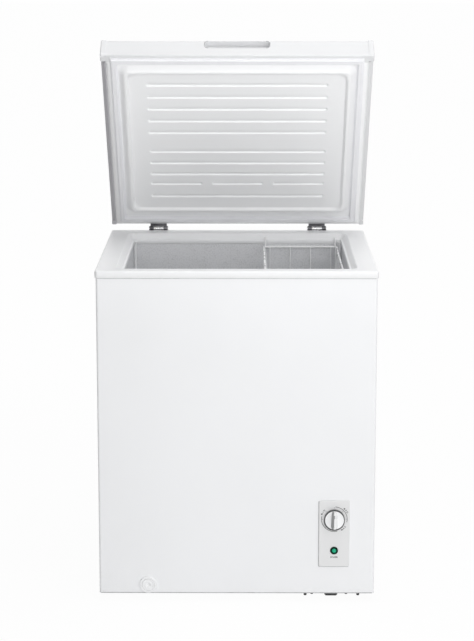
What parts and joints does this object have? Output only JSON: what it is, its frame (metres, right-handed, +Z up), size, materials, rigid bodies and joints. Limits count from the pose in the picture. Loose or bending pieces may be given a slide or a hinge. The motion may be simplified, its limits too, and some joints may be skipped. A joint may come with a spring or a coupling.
{
  "type": "chest freezer",
  "caption": "Upright-walled chest freezer with a hinged insulated lid, a sliding wire basket over the machine step, a front thermostat and a floor drain.",
  "frame": {"origin": "on the floor, in the middle of the box round the part with its lid open: 18 mm behind the middle of the cabinet", "axes": "+X to the right as seen from the front, +Y to the rear, +Z up; the lid rests open at 56 degrees"},
  "size_m": [0.632, 0.6061, 1.254],
  "materials": {
    "white_steel": "glossy white powder coat",
    "grey_steel": "galvanised, matt",
    "white_plastic": "smooth moulded white",
    "soft_white_plastic": "fine satin moulding",
    "embossed_aluminium": "stucco embossed",
    "foam": "cellular",
    "bare_aluminium": "drawn tube",
    "copper_pipe": "drawn tube",
    "black_enamel": "satin enamel",
    "black_rubber": "matt",
    "black_plastic": "matt moulded",
    "zinc": "zinc plated",
    "panel_grey": "satin",
    "knob_white": "satin silver white",
    "brown_phenolic": "matt",
    "bezel_green": "dark",
    "lens_green": "translucent",
    "gasket_grey": "soft vinyl",
    "coated_wire": "white vinyl dip",
    "dark_hinge": "dark zinc"
  },
  "bodies": {
    "cabinet": {"outer_wrapper": "white_steel", "rear_panel": "grey_steel", "bottom_panel": "grey_steel", "top_frame": "white_plastic", "inner_liner": "embossed_aluminium", "liner_floor": "embossed_aluminium", "foam_insulation": "foam", "evaporator_coil": "bare_aluminium", "condenser_coil": "copper_pipe", "compressor": "black_enamel", "compressor_grommets": "black_rubber", "compressor_bolts": "zinc", "compressor_tray": "grey_steel", "tray_screws": "black_plastic", "terminal_cover": "black_plastic", "discharge_pipe": "copper_pipe", "suction_pipe": "copper_pipe", "liquid_pipe": "copper_pipe", "filter_drier": "copper_pipe", "capillary_tube": "copper_pipe", "rear_cover": "black_plastic", "rear_cover_screws": "zinc", "cord_gland": "black_rubber", "control_panel": "panel_grey", "control_box": "soft_white_plastic", "thermostat_body": "brown_phenolic", "lamp_bezel": "bezel_green", "lamp_lens": "lens_green", "drain_housing": "white_plastic", "drain_pipe": "white_plastic", "front_left_foot": "black_plastic", "rear_left_foot": "black_plastic", "front_right_foot": "black_plastic", "rear_right_foot": "black_plastic", "left_hinge_channel": "dark_hinge", "right_hinge_channel": "dark_hinge", "left_hinge_pin": "zinc", "right_hinge_pin": "zinc", "channel_screws": "zinc"},
    "lid": {"lid_outer_shell": "white_steel", "lid_foam": "foam", "lid_inner_liner": "soft_white_plastic", "lid_gasket": "gasket_grey", "lid_handle": "white_plastic", "left_end_cap": "white_plastic", "right_end_cap": "white_plastic", "left_lid_trim": "white_plastic", "right_lid_trim": "white_plastic", "left_hinge_leaf": "dark_hinge", "right_hinge_leaf": "dark_hinge", "leaf_screws": "zinc"},
    "basket_body": {"basket": "coated_wire"},
    "knob": {"thermostat_knob": "knob_white", "thermostat_shaft": "zinc"},
    "spout": {"drain_sleeve": "white_plastic"},
    "dial": {"drain_dial": "white_plastic"},
    "floor_plug": {"drain_plug": "gasket_grey"}
  },
  "joints": [
    {"name": "lid_hinge", "type": "hinge", "parent": "cabinet", "child": "lid", "pos_m": [0, 0.2585, 0.767], "axis": [-1, 0, 0], "range_deg": [-56, 20]},
    {"name": "basket_slide", "type": "slide", "parent": "cabinet", "child": "basket_body", "axis": [1, 0, 0], "range_m": [-0.305, 0]},
    {"name": "knob_turn", "type": "hinge", "parent": "cabinet", "child": "knob", "pos_m": [0.2205, -0.2805, 0.195], "axis": [0, -1, 0], "range_deg": [-150, 150]},
    {"name": "spout_pull", "type": "slide", "parent": "cabinet", "child": "spout", "axis": [0, -1, 0], "range_m": [0, 0.03]},
    {"name": "dial_turn", "type": "hinge", "parent": "spout", "child": "dial", "pos_m": [-0.201, -0.2805, 0.039], "axis": [0, -1, 0], "range_deg": [0, 180]},
    {"name": "plug_lift", "type": "slide", "parent": "cabinet", "child": "floor_plug", "axis": [0, 0, 1], "range_m": [0, 0.03]}
  ]
}
